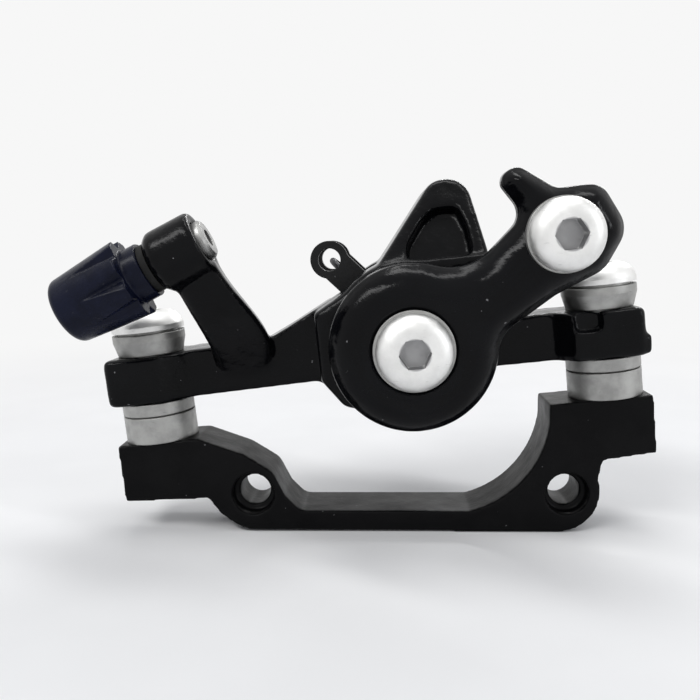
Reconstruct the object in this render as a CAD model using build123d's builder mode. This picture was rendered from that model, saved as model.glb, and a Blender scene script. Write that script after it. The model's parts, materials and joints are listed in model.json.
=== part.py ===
from build123d import *
import os
from math import atan2, cos, degrees, radians, sin, sqrt

# Mechanical disc brake caliper on an adapter bracket.
# Row frame: origin at the middle of the bracket's two frame holes, where their threads start,
# X along the hole line, Y inboard (towards the wheel), Z up. Millimetres.

os.makedirs("parts", exist_ok=True)

# Bracket and its frame holes
hole_spacing = 51.0
hole_r = 2.55
hole_mouth_r = 3.5
hole_mouth_depth = 2.4
bracket_depth = 10.0
bar_top = -2.9
bar_bottom = -6.4
post_height = 9.4

# Caliper seat: the caliper stands on two post faces that rise a little to the right
tilt = 5.5
bracket_back = bracket_depth - hole_mouth_depth
seat_x = -4.5
seat_y = bracket_back - bracket_depth / 2
seat_z = 12.1
post_spacing = 74.0
post_outer = 43.3
post_inner_left = 30.0
post_inner_right = 27.0

# Mounting bolts and their ball and cup washers
bolt_r = 3.0
bolt_head_r = 5.9
bolt_head_height = 3.1
bolt_depth = 7.6
bolt_tap_clearance = 0.02
bolt_socket = 5.0
lever_bolt_socket = 4.0
lever_head_dome = 2.4
socket_depth = 2.4
washer_r = 5.9
washer_bore_r = 3.3
lower_cup_height = 4.3
lower_ball_height = 2.2
upper_cup_height = 3.5
upper_ball_height = 0.45
upper_ball_r = 5.0
upper_cup_foot_r = 5.3
ball_rim_gap = 0.3
seat_lip = 0.1
ball_face_r = 9.0
ball_seat_gap = 0.03
seat_gap = 0.02
ear_height = 7.8

# Caliper casting
ear_outer_left = 43.7
ear_outer_right = 42.6
ear_front = -6.2
ear_back = 7.0
ear_corner = 1.2
slot_clearance = 0.15
float_travel = 1.5
arm_front = -2.3
barrel_front = -9.0
barrel_r = 12.9
half_face = 7.0
rotor_plane = 8.8
slot_top = 21.3
housing_face = 10.6
housing_back = 22.5
housing_r = 12.9
roof_back = 21.5
wing_back = 18.0
roof_top_front = 0.5
window_width = 9.0
wall_x = 19.0
roof_top = 37.3
roof_foot = 25.0
stop_root = 9.5
stop_head = 31.0
stop_corner = 1.2
front_rounding = 1.4
roof_rounding = 1.2
wing_rounding = 2.5
roof_pocket_depth = 2.2

# Pivot and ball ramp
pivot_x = 6.05
pivot_z = 12.7
mechanism_r = 9.5
wall = 2.4
spindle_r = 4.6
bush_wall = 0.9
running_gap = 0.05
thrust_washer_height = 0.6
disc_height = 2.6
ramp_gap = 1.5
ramp_ball_r = 2.0
orbit_wall = 1.1
ramp_orbit_r = mechanism_r - ramp_ball_r - orbit_wall
ball_count = 3
cage_height = 1.0
lever_swing = 40.0
piston_travel = 1.5
piston_nose_r = 5.5
key_width = 3.0
key_proud = 0.8
spindle_flats = 8.0
spindle_end = -17.1
pivot_bolt_r = 3.0
pivot_bolt_end = -8.0
recess_r = 10.3
spring_r = 8.3
spring_wire_r = 0.6
spring_pitch = 1.3
spring_turns = 3
spring_leg = 1.6
sleeve_r = 6.2
recess_floor = -14.4
leg_slot_depth = 1.2

# Pads
pad_r = 10.0
pad_half_width = 9.4
pad_clearance = 0.3
tab_angle = 131.3
tab_reach = 18.2
tab_ring_r = 3.15
tab_hole_r = 1.9
tab_width = 5.3
backing = 1.8
lining = 2.4
pad_gap = 2.6
lining_r = 8.6
lining_chamfer = 0.5
hairpin_wire_r = 0.55
hairpin_start = 9.0
hairpin_end = 14.6

# Inboard adjuster
adjuster_r = 10.0
adjuster_gap = 0.05
adjuster_proud = 0.6
adjuster_socket = 6.0
adjuster_travel = 1.0
adjuster_chamfer = 0.5
adjuster_socket_depth = 3.5
ring_groove_back = 19.5
ring_groove_width = 1.6
ring_groove_depth = 1.2

# Lever
lever_front = -18.0
hub_back = -9.5
hub_r = 12.4
arm_back = -12.6
lever_edge = 2.0
pivot_head_r = 5.55
pivot_head_height = 3.4
pivot_washer_r = 5.9
pivot_washer_height = 0.8
washer_counterbore = 0.7
anchor_x = 28.0
anchor_z = 26.8
anchor_head_r = 5.1
anchor_head_height = 3.7
anchor_bolt_r = 2.5
anchor_washer_height = 1.2
anchor_washer_r = 5.3
anchor_end = -8.4
nut_wide = 9.0
nut_front = -15.4
nut_hex = 4.2
nut_back = -9.6
nut_collar_r = 3.7
hollow_corner = 1.0

# Cable stop and its barrel adjuster
stop_x = -28.0
stop_z = 29.5
stop_y = -13.0
stop_rise = 21.0
boss_r = 4.8
boss_start = -1.8
boss_end = 5.4
screw_r = 2.95
screw_bore_r = 1.3
knob_shoulder = -6.3
knob_end = -18.0
knob_far_r = 5.0
knob_near_r = 6.1
neck_r = 4.2
neck_end = -3.7
spigot_end = -2.6
housing_seat_r = 2.6
housing_seat_depth = 6.0
screw_end = 6.4
screw_foot = -11.5
ring_r = 3.3
flute_count = 8
flute_depth = 1.3
flute_width = 3.4
flute_end = -16.5
knob_rounding = 1.2
barrel_travel = 4.0


def across(x, z):
    """Row X and Z of a point given in the caliper's own tilted axes."""
    return (
        seat_x + x * cos(radians(tilt)) - z * sin(radians(tilt)),
        seat_z + x * sin(radians(tilt)) + z * cos(radians(tilt)),
    )


def facing(y):
    """Plane that looks outboard at depth y in the caliper's axes."""
    return Plane(
        origin=(seat_x, seat_y + y, seat_z),
        x_dir=(cos(radians(tilt)), 0, sin(radians(tilt))),
        z_dir=(0, -1, 0),
    )


def level(z):
    """Plane that looks up at height z in the caliper's axes, x across and y inboard."""
    x_row, z_row = across(0, z)
    return Plane(
        origin=(x_row, seat_y, z_row),
        x_dir=(cos(radians(tilt)), 0, sin(radians(tilt))),
        z_dir=(-sin(radians(tilt)), 0, cos(radians(tilt))),
    )


def beside(x):
    """Plane that looks along the caliper's x at distance x, with y inboard and z up."""
    x_row, z_row = across(x, 0)
    return Plane(
        origin=(x_row, seat_y, z_row),
        x_dir=(0, 1, 0),
        z_dir=(cos(radians(tilt)), 0, sin(radians(tilt))),
    )


def at_pivot(y):
    """Row point on the pivot axis at depth y."""
    x_row, z_row = across(pivot_x, pivot_z)
    return (x_row, seat_y + y, z_row)


def at_tab(y):
    """Plane that looks outboard at depth y, centred on the pivot, x along the pad tabs."""
    return Plane(
        origin=at_pivot(y),
        x_dir=(cos(radians(tilt + tab_angle)), 0, sin(radians(tilt + tab_angle))),
        z_dir=(0, -1, 0),
    )


def along_stop(s):
    """Plane square to the adjuster screw, s up the screw from its datum in the boss."""
    x_row, z_row = across(stop_x + s * cos(radians(stop_rise)), stop_z + s * sin(radians(stop_rise)))
    return Plane(
        origin=(x_row, seat_y + stop_y, z_row),
        x_dir=(0, 1, 0),
        z_dir=(cos(radians(tilt + stop_rise)), 0, sin(radians(tilt + stop_rise))),
    )


def save(piece, name):
    """Label a finished piece and write it to its own file."""
    piece.part.label = name
    export_step(piece.part, f"parts/{name}.step")


half_post = post_spacing / 2
posts = [(-half_post, 0), (half_post, 0)]
pivot = (pivot_x, pivot_z)
anchor = (anchor_x, anchor_z)

# Heights up each mounting bolt
lower_ball_bottom = lower_cup_height
ear_bottom = lower_cup_height + lower_ball_height
ear_top = ear_bottom + ear_height
upper_cup_bottom = ear_top
upper_cup_top = upper_cup_bottom + upper_cup_height
head_bottom = upper_cup_top + upper_ball_height

# Depths along the pivot axis
mechanism_front = barrel_front + wall
disc_front = mechanism_front + thrust_washer_height + seat_gap
disc_back = disc_front + disc_height
piston_front = disc_back + ramp_gap
ball_centre = disc_back + ramp_gap / 2
piston_back = 1.4
washer_seat = lever_front + washer_counterbore
pivot_head_back = washer_seat - pivot_washer_height
anchor_head_back = lever_front - anchor_washer_height
lining_face = rotor_plane - pad_gap / 2
pad_front = lining_face - lining - backing
far_lining_face = rotor_plane + pad_gap / 2
far_pad_back = far_lining_face + lining + backing
adjuster_back = housing_back + adjuster_proud

# Ball ramps: the balls roll half the lever's angle and half the piston's travel
ramp_lead = piston_travel / 2 * 360 / (lever_swing / 2)

# Hairpin spring between the pads, drawn in the plane of the tabs and the rotor's axis
near_leg = pad_front + backing + hairpin_wire_r
far_leg = far_lining_face + lining - hairpin_wire_r
hairpin_bend_r = (far_leg - near_leg) / 2
beside_tab = Plane(
    origin=at_pivot(0),
    x_dir=at_tab(0).x_dir,
    z_dir=at_tab(0).x_dir.cross(Vector(0, 1, 0)),
)

# Sloping outboard face of the roof
roof_slope = degrees(atan2(roof_top - roof_foot, roof_top_front - barrel_front - 0.8))
roof_x, roof_z = across(0, roof_foot)
roof_face = Plane(
    origin=(roof_x, seat_y + barrel_front + 0.8, roof_z),
    x_dir=level(0).x_dir,
    z_dir=level(0).z_dir * cos(radians(roof_slope)) - Vector(0, sin(radians(roof_slope)), 0),
)

# Adapter bracket: posts for the caliper, two tapped holes for the frame
with BuildPart() as adapter_bracket:
    with BuildSketch(Plane.XZ.offset(-bracket_back)):
        with BuildLine():
            Polyline(
                across(-post_outer, -post_height),
                across(-post_outer, 0),
                across(-post_inner_left, 0),
                (-27.0, 6.6),
                (-22.2, 3.6),
                (-20.2, -0.4),
                (-17.8, bar_top),
                (10.0, bar_top),
            )
            ThreePointArc((10.0, bar_top), (19.0, 3.1), (22.4, 11.5))
            Polyline(
                (22.4, 11.5),
                across(post_inner_right, 0),
                across(post_outer, 0),
                across(post_outer, -post_height),
                (31.0, 5.6),
                (30.4, 2.4),
            )
            ThreePointArc((30.4, 2.4), (29.2, -4.0), (24.1, bar_bottom))
            Line((24.1, bar_bottom), (-26.2, bar_bottom + 0.3))
            ThreePointArc((-26.2, bar_bottom + 0.3), (-30.3, -3.9), (-32.8, -0.8))
            Line((-32.8, -0.8), across(-post_outer, -post_height))
        make_face()
        fillet(vertices().sort_by_distance((-22.2, 3.6))[0], 3.0)
        fillet(vertices().sort_by_distance((-27.0, 6.6))[0], 3.0)
        fillet(vertices().sort_by_distance((-17.8, bar_top))[0], 2.5)
    extrude(amount=bracket_depth)
    with Locations(Plane.XZ.offset(hole_mouth_depth)):
        with Locations((-hole_spacing / 2, 0), (hole_spacing / 2, 0)):
            CounterBoreHole(hole_r, hole_mouth_r, hole_mouth_depth)
    with Locations(level(0)):
        with Locations(*posts):
            Hole(bolt_r + bolt_tap_clearance, depth=bolt_depth)
save(adapter_bracket, "adapter_bracket")

# Post hardware is drawn at the right post and mirrored to the left one
bolt_x, bolt_z = across(half_post, 0)
bolt_axis = Axis((bolt_x, seat_y, bolt_z), level(0).z_dir)
mirror_plane = beside(0)


def sphere_height(centre, face_r, radius):
    """Height of a sphere's lower side at some radius from the bolt axis."""
    return centre - sqrt(face_r**2 - radius**2)


def sphere_arc(centre, face_r, inner, outer):
    """Section of a sphere's lower side between two radii, at the right post."""
    middle = (inner + outer) / 2
    ThreePointArc(
        (half_post + inner, sphere_height(centre, face_r, inner)),
        (half_post + middle, sphere_height(centre, face_r, middle)),
        (half_post + outer, sphere_height(centre, face_r, outer)),
    )


cup_face_r = ball_face_r + ball_seat_gap
lower_rim = lower_ball_bottom + ball_rim_gap
lower_centre = lower_rim + sqrt(ball_face_r**2 - washer_r**2)
upper_centre = upper_cup_top - seat_lip + sqrt(ball_face_r**2 - upper_ball_r**2)

# Lower cup washers stand on the posts and hold the lower ball washers
with BuildPart() as lower_cup_washers:
    with BuildSketch(facing(0)):
        with BuildLine():
            lip = sqrt(cup_face_r**2 - (lower_centre - lower_cup_height) ** 2)
            sphere_arc(lower_centre, cup_face_r, washer_bore_r, lip)
            Polyline(
                (half_post + lip, lower_cup_height),
                (half_post + washer_r, lower_cup_height),
                (half_post + washer_r, 0),
                (half_post + washer_bore_r, 0),
                (half_post + washer_bore_r, sphere_height(lower_centre, cup_face_r, washer_bore_r)),
            )
        make_face()
    revolve(axis=bolt_axis)
    mirror(about=mirror_plane)
save(lower_cup_washers, "lower_cup_washers")

with BuildPart() as lower_ball_washers:
    with BuildSketch(facing(0)):
        with BuildLine():
            sphere_arc(lower_centre, ball_face_r, washer_bore_r, washer_r)
            Polyline(
                (half_post + washer_r, lower_rim),
                (half_post + washer_r, ear_bottom),
                (half_post + washer_bore_r, ear_bottom),
                (half_post + washer_bore_r, sphere_height(lower_centre, ball_face_r, washer_bore_r)),
            )
        make_face()
    revolve(axis=bolt_axis)
    mirror(about=mirror_plane)
save(lower_ball_washers, "lower_ball_washers")

# Upper cup washers lie on the ears and taper down towards them
with BuildPart() as upper_cup_washers:
    with BuildSketch(facing(0)):
        with BuildLine():
            lip = sqrt(cup_face_r**2 - (upper_centre - upper_cup_top) ** 2)
            sphere_arc(upper_centre, cup_face_r, washer_bore_r, lip)
            Polyline(
                (half_post + lip, upper_cup_top),
                (half_post + washer_r, upper_cup_top),
                (half_post + washer_r, upper_cup_top - 1.2),
                (half_post + upper_cup_foot_r, upper_cup_bottom + seat_gap),
                (half_post + washer_bore_r, upper_cup_bottom + seat_gap),
                (half_post + washer_bore_r, sphere_height(upper_centre, cup_face_r, washer_bore_r)),
            )
        make_face()
    revolve(axis=bolt_axis)
    mirror(about=mirror_plane)
save(upper_cup_washers, "upper_cup_washers")

with BuildPart() as upper_ball_washers:
    with BuildSketch(facing(0)):
        with BuildLine():
            sphere_arc(upper_centre, ball_face_r, washer_bore_r, upper_ball_r)
            Polyline(
                (half_post + upper_ball_r, upper_cup_top - seat_lip),
                (half_post + upper_ball_r, head_bottom),
                (half_post + washer_bore_r, head_bottom),
                (half_post + washer_bore_r, sphere_height(upper_centre, ball_face_r, washer_bore_r)),
            )
        make_face()
    revolve(axis=bolt_axis)
    mirror(about=mirror_plane)
save(upper_ball_washers, "upper_ball_washers")

# Mounting bolts: button heads with a hexagon socket
with BuildPart() as mounting_bolts:
    with BuildSketch(facing(0)):
        with BuildLine():
            Polyline(
                (half_post, -bolt_depth + 0.6),
                (half_post + bolt_r - 0.6, -bolt_depth + 0.6),
                (half_post + bolt_r, -bolt_depth + 1.2),
                (half_post + bolt_r, head_bottom),
                (half_post + bolt_head_r, head_bottom),
                (half_post + bolt_head_r, head_bottom + 0.8),
            )
            ThreePointArc(
                (half_post + bolt_head_r, head_bottom + 0.8),
                (half_post + 4.95, head_bottom + 2.35),
                (half_post + 3.4, head_bottom + bolt_head_height),
            )
            Polyline(
                (half_post + 3.4, head_bottom + bolt_head_height),
                (half_post, head_bottom + bolt_head_height),
                (half_post, -bolt_depth + 0.6),
            )
        make_face()
    revolve(axis=bolt_axis)
    with BuildSketch(level(head_bottom + bolt_head_height)):
        with Locations((half_post, 0)):
            RegularPolygon(bolt_socket / 2, 6, major_radius=False)
    extrude(amount=-socket_depth, mode=Mode.SUBTRACT)
    mirror(about=mirror_plane)
save(mounting_bolts, "mounting_bolts")

# Caliper casting, outboard half: the arms to the two ears and the mechanism barrel
with BuildPart() as outboard_half:
    with BuildSketch(facing(half_face)):
        with BuildLine():
            Polyline(
                (-31.0, ear_bottom),
                (-9.4, 7.0),
                (-5.4, 3.6),
                (-0.5, 2.0),
                (17.0, ear_bottom),
                (31.0, ear_bottom),
                (31.0, ear_top),
                (wall_x, ear_top),
                (wall_x, 25.4),
                (2.5, 25.2),
                (-0.2, 23.2),
                (-13.5, 16.4),
                (-18.0, ear_top),
                (-31.0, ear_top),
                (-31.0, ear_bottom),
            )
        make_face()
        with Locations(pivot):
            Circle(barrel_r)
    extrude(amount=half_face - arm_front)
    with BuildSketch(facing(arm_front)):
        with BuildLine():
            Polyline(
                (-8.6, 8.0),
                (-5.4, 3.6),
                (-0.5, 2.0),
                (12.0, 20.0),
                (2.5, 24.6),
                (-0.2, 23.2),
                (-8.6, 18.6),
                (-8.6, 8.0),
            )
        make_face()
        with Locations(pivot):
            Circle(barrel_r)
    extrude(amount=arm_front - barrel_front)
    fillet(faces().filter_by(Axis.Y).sort_by(Axis.Y)[0].outer_wire().edges(), front_rounding)

# Ears: blocks with rounded ends, joined to the arms
with BuildPart() as ears:
    with BuildSketch(level(ear_bottom)):
        with BuildLine():
            Polyline(
                (-30.0, arm_front),
                (-35.2, ear_front),
                (-ear_outer_left, ear_front),
                (-ear_outer_left + 1.2, ear_back - 2.4),
                (-ear_outer_left + 4.0, ear_back),
                (-33.4, ear_back),
                (-30.0, ear_back - 2.0),
                close=True,
            )
        make_face()
        with BuildLine():
            Polyline(
                (29.0, arm_front),
                (31.5, ear_front),
                (ear_outer_right, ear_front),
                (ear_outer_right, ear_back),
                (29.0, ear_back),
                close=True,
            )
        make_face()
        fillet(vertices().group_by(Axis.X)[0] + vertices().group_by(Axis.X)[-1], ear_corner)
    extrude(amount=ear_height)
    fillet(edges().filter_by(GeomType.CIRCLE), 0.8)
    # Lip along the foot of the right ear's end
    with BuildSketch(level(ear_bottom + 0.3)):
        with Locations((ear_outer_right - 1.0, ear_front + 3.4)):
            Rectangle(3.6, 5.6)
    extrude(amount=3.0)
    # Shallow pocket in the right ear's front
    with BuildSketch(facing(ear_front)):
        with Locations((33.6, 12.9)):
            Rectangle(4.2, 3.4)
    extrude(amount=-1.5, mode=Mode.SUBTRACT)

# Roof over the rotor, with its outboard face sloping back
roof_outline = [
    (wall_x, pivot_z),
    (wall_x, 25.4),
    (17.35, roof_top),
    (11.9, roof_top),
    (2.5, 25.5),
    (-1.2, 20.8),
    (pivot_x, pivot_z),
]
with BuildPart() as roof:
    with BuildSketch(facing(roof_back)):
        with BuildLine():
            Polyline(*roof_outline, close=True)
        make_face()
        fillet(vertices().group_by(Axis.Z)[-1], 3.6)
    extrude(amount=roof_back - barrel_front)
    roof_rear = faces().filter_by(Axis.Y).sort_by(Axis.Y)[-1]
    fillet([edge for edge in roof_rear.edges() if edge.center().Z > roof_z], roof_rounding)
    with BuildSketch(beside(-10)):
        with BuildLine():
            Polyline(
                (barrel_front + 0.8, roof_foot),
                (roof_top_front, roof_top),
                (roof_top_front, roof_top + 5),
                (barrel_front - 5, roof_top + 5),
                (barrel_front - 5, roof_foot),
                (barrel_front + 0.8, roof_foot),
            )
        make_face()
    extrude(amount=40, mode=Mode.SUBTRACT)

# Inboard housing, the wing block beside it and the cable stop
with BuildPart() as inboard_housing:
    with BuildSketch(facing(housing_back)):
        with Locations(pivot):
            Circle(housing_r)
    extrude(amount=housing_back - housing_face)
    chamfer(edges().filter_by(GeomType.CIRCLE).sort_by(Axis.Y)[-1], 0.8)
    with BuildSketch(facing(wing_back)):
        with BuildLine():
            Polyline((-2.0, 5.0), (-19.5, 5.5), (-20.0, 11.5), (-5.0, 16.5), (-2.0, 5.0))
        make_face()
    extrude(amount=wing_back - housing_face)
    fillet(edges().filter_by(GeomType.LINE).filter_by(Axis.Y), wing_rounding)

# Leaning arm of the cable stop: height, depths and widths of its four sections
stop_sections = [
    (stop_root, (-25.4, -17.6, -2.3), (-25.4, -18.4, 2.0)),
    (14.5, (-25.8, -15.8, -6.0), (-26.0, -17.0, 0.0)),
    (22.0, (-27.6, -18.4, -12.0), (-26.2, -19.5, -5.0)),
    (stop_head, (-29.6, -22.0, -15.2), (-28.2, -22.7, -8.4)),
]
with BuildPart() as cable_stop:
    for height, (front_left, front_right, front_y), (back_left, back_right, back_y) in stop_sections:
        with BuildSketch(level(height)):
            with BuildLine():
                Polyline(
                    (front_left, front_y),
                    (front_right, front_y),
                    (back_right, back_y),
                    (back_left, back_y),
                    close=True,
                )
            make_face()
            fillet(vertices(), stop_corner)
    loft()

pocket_back = far_pad_back + adjuster_travel + 0.1
pocket_r = pad_r + pad_clearance

# One-piece caliper casting
with BuildPart() as caliper_body:
    add(outboard_half.part)
    add(ears.part)
    add(roof.part)
    add(inboard_housing.part)
    add(cable_stop.part)
    with BuildSketch(along_stop(boss_end)):
        Circle(boss_r)
    extrude(amount=boss_start - boss_end)
    with BuildSketch(along_stop(boss_start)):
        Circle(neck_r)
    extrude(amount=spigot_end - boss_start)
    # Mechanism bore with its key slot, and the spindle's bush hole
    with BuildSketch(facing(half_face)):
        with Locations(pivot):
            Circle(mechanism_r)
    extrude(amount=half_face - mechanism_front, mode=Mode.SUBTRACT)
    with BuildSketch(facing(0)):
        with Locations(pivot):
            Circle(spindle_r + bush_wall)
    extrude(amount=20, mode=Mode.SUBTRACT)
    with BuildSketch(at_tab(half_face)):
        with Locations((-mechanism_r, 0)):
            Rectangle(2 * key_proud, key_width)
    extrude(amount=half_face - piston_front + 1.0, mode=Mode.SUBTRACT)
    # Pad pocket, open away from the tabs, and the window for the tabs
    with BuildSketch(at_tab(pocket_back)):
        Circle(pocket_r)
        with Locations((-pocket_r, 0)):
            Rectangle(2 * pocket_r, 2 * pocket_r)
        with Locations((pocket_r, 0)):
            Rectangle(2 * pocket_r, window_width)
    extrude(amount=pocket_back - pad_front + 0.1, mode=Mode.SUBTRACT)
    # Rotor slot
    with BuildSketch(facing(housing_face)):
        with Locations((0, slot_top - 20)):
            Rectangle(80, 40)
    extrude(amount=housing_face - half_face, mode=Mode.SUBTRACT)
    # Threaded bore for the inboard adjuster
    with BuildSketch(facing(housing_back)):
        with Locations(pivot):
            Circle(adjuster_r + adjuster_gap)
    extrude(amount=housing_back - pocket_back, mode=Mode.SUBTRACT)
    # Slots that let the caliper float on its two bolts
    with BuildSketch(level(ear_top)):
        with Locations(*posts):
            SlotCenterToCenter(2 * (float_travel + slot_clearance), 2 * (bolt_r + slot_clearance), rotation=90)
    extrude(amount=-ear_height, mode=Mode.SUBTRACT)
    # Cored pocket in the sloping face of the roof
    with BuildSketch(roof_face):
        with BuildLine():
            Polyline((6.6, 0.5), (6.9, 3.4), (9.4, 7.6), (11.8, 9.8), (15.3, 9.7), (16.3, 5.9), (16.7, 0.5), (6.6, 0.5))
        make_face()
        fillet(vertices(), 1.0)
    extrude(amount=-roof_pocket_depth, mode=Mode.SUBTRACT)
    # Screw hole through the boss
    with BuildSketch(along_stop(screw_end)):
        Circle(screw_r + running_gap)
    extrude(amount=spigot_end - screw_end, mode=Mode.SUBTRACT)
save(caliper_body, "caliper_body")

# Bush that carries the spindle in the casting's front wall
with BuildPart() as spindle_bush:
    with BuildSketch(facing(mechanism_front)):
        with Locations(pivot):
            Circle(spindle_r + bush_wall)
            Circle(spindle_r + running_gap, mode=Mode.SUBTRACT)
    extrude(amount=wall)
save(spindle_bush, "spindle_bush")

with BuildPart() as thrust_washer:
    with BuildSketch(facing(mechanism_front + thrust_washer_height)):
        with Locations(pivot):
            Circle(mechanism_r - 0.3)
            Circle(spindle_r + 2 * running_gap, mode=Mode.SUBTRACT)
    extrude(amount=thrust_washer_height)
save(thrust_washer, "thrust_washer")

with BuildPart() as dust_seal:
    with BuildSketch(facing(barrel_front)):
        with Locations(pivot):
            Circle(hub_r - 0.4)
            Circle(recess_r + 0.5, mode=Mode.SUBTRACT)
    extrude(amount=barrel_front - hub_back - seat_gap)
save(dust_seal, "dust_seal")

# Torsion spring that opens the lever: coils in the hub, one leg in the casting
with BuildPart() as return_spring:
    with BuildLine() as coil:
        Helix(
            pitch=spring_pitch,
            height=spring_pitch * spring_turns,
            radius=spring_r,
            center=at_pivot(barrel_front - spring_wire_r - seat_gap),
            direction=(0, -1, 0),
        )
    with BuildSketch(Plane(origin=coil.line @ 0, z_dir=coil.line % 0)):
        Circle(spring_wire_r)
    sweep()
    with Locations(Plane(origin=coil.line @ 1, z_dir=(0, -1, 0))):
        Cylinder(spring_wire_r - seat_gap, spring_leg, align=(Align.CENTER, Align.CENTER, Align.MIN))
save(return_spring, "return_spring")

# Canal that one ball rolls along: helix in the disc's frame, mirrored in the piston's
with BuildPart() as disc_groove:
    with BuildLine() as disc_ramp:
        Helix(
            pitch=ramp_lead,
            height=piston_travel / 2,
            radius=ramp_orbit_r,
            center=at_pivot(ball_centre),
            direction=(0, 1, 0),
        )
    with BuildSketch(Plane(origin=disc_ramp.line @ 0, z_dir=disc_ramp.line % 0)):
        Circle(ramp_ball_r + ball_seat_gap)
    sweep()
    with Locations(disc_ramp.line @ 0, disc_ramp.line @ 1):
        Sphere(ramp_ball_r + ball_seat_gap)

with BuildPart() as piston_groove:
    with BuildLine() as piston_ramp:
        Helix(
            pitch=ramp_lead,
            height=piston_travel / 2,
            radius=ramp_orbit_r,
            center=at_pivot(ball_centre),
            direction=(0, -1, 0),
        )
    with BuildSketch(Plane(origin=piston_ramp.line @ 0, z_dir=piston_ramp.line % 0)):
        Circle(ramp_ball_r + ball_seat_gap)
    sweep()
    with Locations(piston_ramp.line @ 0, piston_ramp.line @ 1):
        Sphere(ramp_ball_r + ball_seat_gap)

pivot_axis = Axis(at_pivot(0), (0, 1, 0))

# Spindle: ramp disc, journal, two flats for the lever and a tapped end
with BuildPart() as drive_spindle:
    with BuildSketch(facing(disc_back)):
        with Locations(pivot):
            Circle(mechanism_r - 0.15)
    extrude(amount=disc_height)
    with BuildSketch(facing(disc_front)):
        with Locations(pivot):
            Circle(spindle_r)
    extrude(amount=disc_front - hub_back)
    with BuildSketch(at_tab(hub_back)):
        Circle(spindle_r)
        Rectangle(2 * spindle_r, spindle_flats, mode=Mode.INTERSECT)
    extrude(amount=hub_back - spindle_end)
    with BuildSketch(facing(spindle_end)):
        with Locations(pivot):
            Circle(pivot_bolt_r)
    extrude(amount=spindle_end - pivot_bolt_end, mode=Mode.SUBTRACT)
    for number in range(ball_count):
        add(disc_groove.part.rotate(pivot_axis, number * 360 / ball_count), mode=Mode.SUBTRACT)
save(drive_spindle, "drive_spindle")

with BuildPart() as ball_cage:
    with BuildSketch(facing(ball_centre + cage_height / 2)):
        with Locations(pivot):
            Circle(mechanism_r - 0.3)
            Circle(ramp_orbit_r - ramp_ball_r - 1.0, mode=Mode.SUBTRACT)
            with PolarLocations(ramp_orbit_r, ball_count, start_angle=90 - tilt):
                Circle(ramp_ball_r + running_gap, mode=Mode.SUBTRACT)
    extrude(amount=cage_height)
save(ball_cage, "ball_cage")

with BuildPart() as ramp_balls:
    with Locations(facing(ball_centre)):
        with Locations(pivot):
            with PolarLocations(ramp_orbit_r, ball_count, start_angle=90 - tilt):
                Sphere(ramp_ball_r)
save(ramp_balls, "ramp_balls")

# Pressure piston: slides on its key and pushes the outboard pad
with BuildPart() as pressure_piston:
    with BuildSketch(facing(piston_back)):
        with Locations(pivot):
            Circle(mechanism_r - running_gap)
    extrude(amount=piston_back - piston_front)
    with BuildSketch(at_tab(piston_back)):
        with Locations((-mechanism_r, 0)):
            Rectangle(2 * key_proud - 2 * running_gap, key_width - 2 * running_gap)
    extrude(amount=piston_back - piston_front)
    with BuildSketch(facing(pad_front)):
        with Locations(pivot):
            Circle(piston_nose_r)
    extrude(amount=pad_front - piston_back)
    for number in range(ball_count):
        add(piston_groove.part.rotate(pivot_axis, 180 + number * 360 / ball_count), mode=Mode.SUBTRACT)
save(pressure_piston, "pressure_piston")


# Pads: a steel plate with a ringed tab, and the lining bonded to it
with BuildPart() as outboard_pad_plate:
    with BuildSketch(at_tab(pad_front + backing)):
        Circle(pad_r)
        Rectangle(2 * pad_r, 2 * pad_half_width, mode=Mode.INTERSECT)
        with Locations((tab_reach / 2, 0)):
            Rectangle(tab_reach, tab_width)
        with Locations((tab_reach, 0)):
            Circle(tab_ring_r)
            Circle(tab_hole_r, mode=Mode.SUBTRACT)
    extrude(amount=backing)
save(outboard_pad_plate, "outboard_pad_plate")

with BuildPart() as outboard_pad_lining:
    with BuildSketch(at_tab(lining_face)):
        Circle(lining_r)
    extrude(amount=lining)
    chamfer(edges().group_by(Axis.Y)[-1], lining_chamfer)
save(outboard_pad_lining, "outboard_pad_lining")

with BuildPart() as inboard_pad_plate:
    with BuildSketch(at_tab(far_pad_back)):
        Circle(pad_r)
        Rectangle(2 * pad_r, 2 * pad_half_width, mode=Mode.INTERSECT)
        with Locations((tab_reach / 2, 0)):
            Rectangle(tab_reach, tab_width)
        with Locations((tab_reach, 0)):
            Circle(tab_ring_r)
            Circle(tab_hole_r, mode=Mode.SUBTRACT)
    extrude(amount=backing)
save(inboard_pad_plate, "inboard_pad_plate")

with BuildPart() as inboard_pad_lining:
    with BuildSketch(at_tab(far_lining_face + lining)):
        Circle(lining_r)
    extrude(amount=lining)
    chamfer(edges().group_by(Axis.Y)[0], lining_chamfer)
save(inboard_pad_lining, "inboard_pad_lining")

# Hairpin spring that spreads the two plates, bent round between their tabs
with BuildPart() as pad_spring:
    with BuildLine(beside_tab) as hairpin:
        Line((hairpin_start, near_leg), (hairpin_end, near_leg))
        ThreePointArc((hairpin_end, near_leg), (hairpin_end + hairpin_bend_r, rotor_plane), (hairpin_end, far_leg))
        Line((hairpin_end, far_leg), (hairpin_start, far_leg))
    with BuildSketch(Plane(origin=hairpin.line @ 0, z_dir=hairpin.line % 0)):
        Circle(hairpin_wire_r)
    sweep()
save(pad_spring, "pad_spring")

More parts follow.
